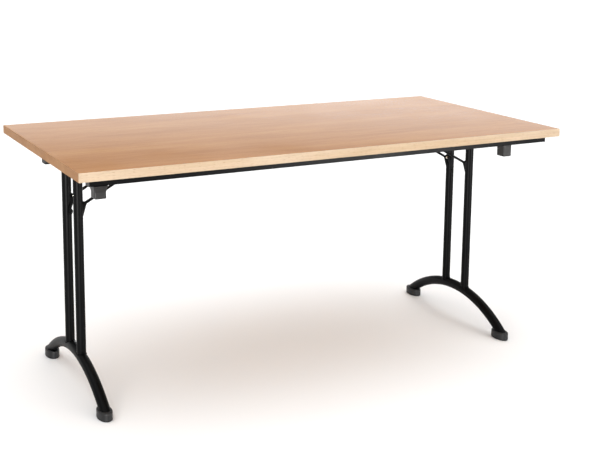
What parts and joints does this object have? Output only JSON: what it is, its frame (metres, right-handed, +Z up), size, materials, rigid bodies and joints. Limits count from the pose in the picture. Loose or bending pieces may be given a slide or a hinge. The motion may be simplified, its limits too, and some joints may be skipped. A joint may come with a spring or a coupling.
{
  "type": "folding table",
  "caption": "Rectangular wood-effect folding table on two black arched-foot swing legs that fold flat under the top, with folding stays and stacking buffers.",
  "frame": {"origin": "on the floor, under the middle of the table top", "axes": "+X along the length of the top, +Y to the rear long edge, +Z up"},
  "size_m": [1.6, 0.8, 0.74],
  "materials": {
    "beech_laminate": "satin beech-pattern melamine",
    "backing_laminate": "matt beech-pattern melamine",
    "chipboard": "raw chipboard",
    "edge_band": "pale beech-pattern edging",
    "black_steel": "black powder coat, semi-gloss",
    "black_plastic": "moulded, fine texture",
    "nylon": "natural nylon",
    "zinc_steel": "zinc plated"
  },
  "bodies": {
    "table": {"backing_laminate": "backing_laminate", "bracket_screws": "zinc_steel", "buffer_front_left": "black_plastic", "buffer_front_right": "black_plastic", "buffer_rear_left": "black_plastic", "buffer_rear_right": "black_plastic", "buffer_screws": "zinc_steel", "cross_member_left": "black_steel", "cross_member_right": "black_steel", "edge_band_front": "edge_band", "edge_band_left": "edge_band", "edge_band_rear": "edge_band", "edge_band_right": "edge_band", "frame_screws": "zinc_steel", "guide_screws": "zinc_steel", "hinge_bracket_left_front": "black_steel", "hinge_bracket_left_rear": "black_steel", "hinge_bracket_right_front": "black_steel", "hinge_bracket_right_rear": "black_steel", "pivot_bushes_left": "nylon", "pivot_bushes_right": "nylon", "rail_caps": "black_plastic", "rail_front": "black_steel", "rail_rear": "black_steel", "stay_guides_left": "black_steel", "stay_guides_right": "black_steel", "top_core": "chipboard", "top_laminate": "beech_laminate"},
    "left_leg": {"left_pivot_tube": "black_steel", "left_post_front": "black_steel", "left_post_rear": "black_steel", "left_arch_tube": "black_steel", "left_foot_cap_front": "black_plastic", "left_foot_cap_rear": "black_plastic", "left_stay_lugs": "black_steel", "left_lug_pins": "black_steel", "left_tube_plugs": "black_plastic", "left_lock_stud": "black_steel", "left_lock_spring": "zinc_steel"},
    "left_stay": {"left_stay_front": "black_steel", "left_stay_rear": "black_steel", "left_cross_rod": "black_steel", "left_stay_rollers": "nylon"},
    "left_lock": {"left_lock_hook": "black_steel"},
    "right_leg": {"right_pivot_tube": "black_steel", "right_post_front": "black_steel", "right_post_rear": "black_steel", "right_arch_tube": "black_steel", "right_foot_cap_front": "black_plastic", "right_foot_cap_rear": "black_plastic", "right_stay_lugs": "black_steel", "right_lug_pins": "black_steel", "right_tube_plugs": "black_plastic", "right_lock_stud": "black_steel", "right_lock_spring": "zinc_steel"},
    "right_stay": {"right_stay_front": "black_steel", "right_stay_rear": "black_steel", "right_cross_rod": "black_steel", "right_stay_rollers": "nylon"},
    "right_lock": {"right_lock_hook": "black_steel"}
  },
  "joints": [
    {"name": "left_leg_fold", "type": "hinge", "parent": "table", "child": "left_leg", "pos_m": [-0.7, 0, 0.69], "axis": [0, -1, 0], "range_deg": [0, 90]},
    {"name": "left_stay_swing", "type": "hinge", "parent": "left_leg", "child": "left_stay", "pos_m": [-0.6805, 0.0564, 0.573], "axis": [0, -1, 0], "range_deg": [-119, 0]},
    {"name": "left_lock_release", "type": "hinge", "parent": "left_leg", "child": "left_lock", "pos_m": [-0.6805, 0.04, 0.573], "axis": [0, -1, 0], "range_deg": [0, 12], "stiffness_Nm_per_rad": 0.02, "springref_deg": -17.19},
    {"name": "right_leg_fold", "type": "hinge", "parent": "table", "child": "right_leg", "pos_m": [0.7, 0, 0.69], "axis": [0, 1, 0], "range_deg": [0, 90]},
    {"name": "right_stay_swing", "type": "hinge", "parent": "right_leg", "child": "right_stay", "pos_m": [0.6805, 0.0564, 0.573], "axis": [0, 1, 0], "range_deg": [-119, 0]},
    {"name": "right_lock_release", "type": "hinge", "parent": "right_leg", "child": "right_lock", "pos_m": [0.6805, 0.04, 0.573], "axis": [0, 1, 0], "range_deg": [0, 12], "stiffness_Nm_per_rad": 0.02, "springref_deg": -17.19}
  ],
  "couplings": [
    {"joint": "left_stay_swing", "follows": "left_leg_fold", "ratio": -1.3222},
    {"joint": "right_stay_swing", "follows": "right_leg_fold", "ratio": -1.3222}
  ]
}
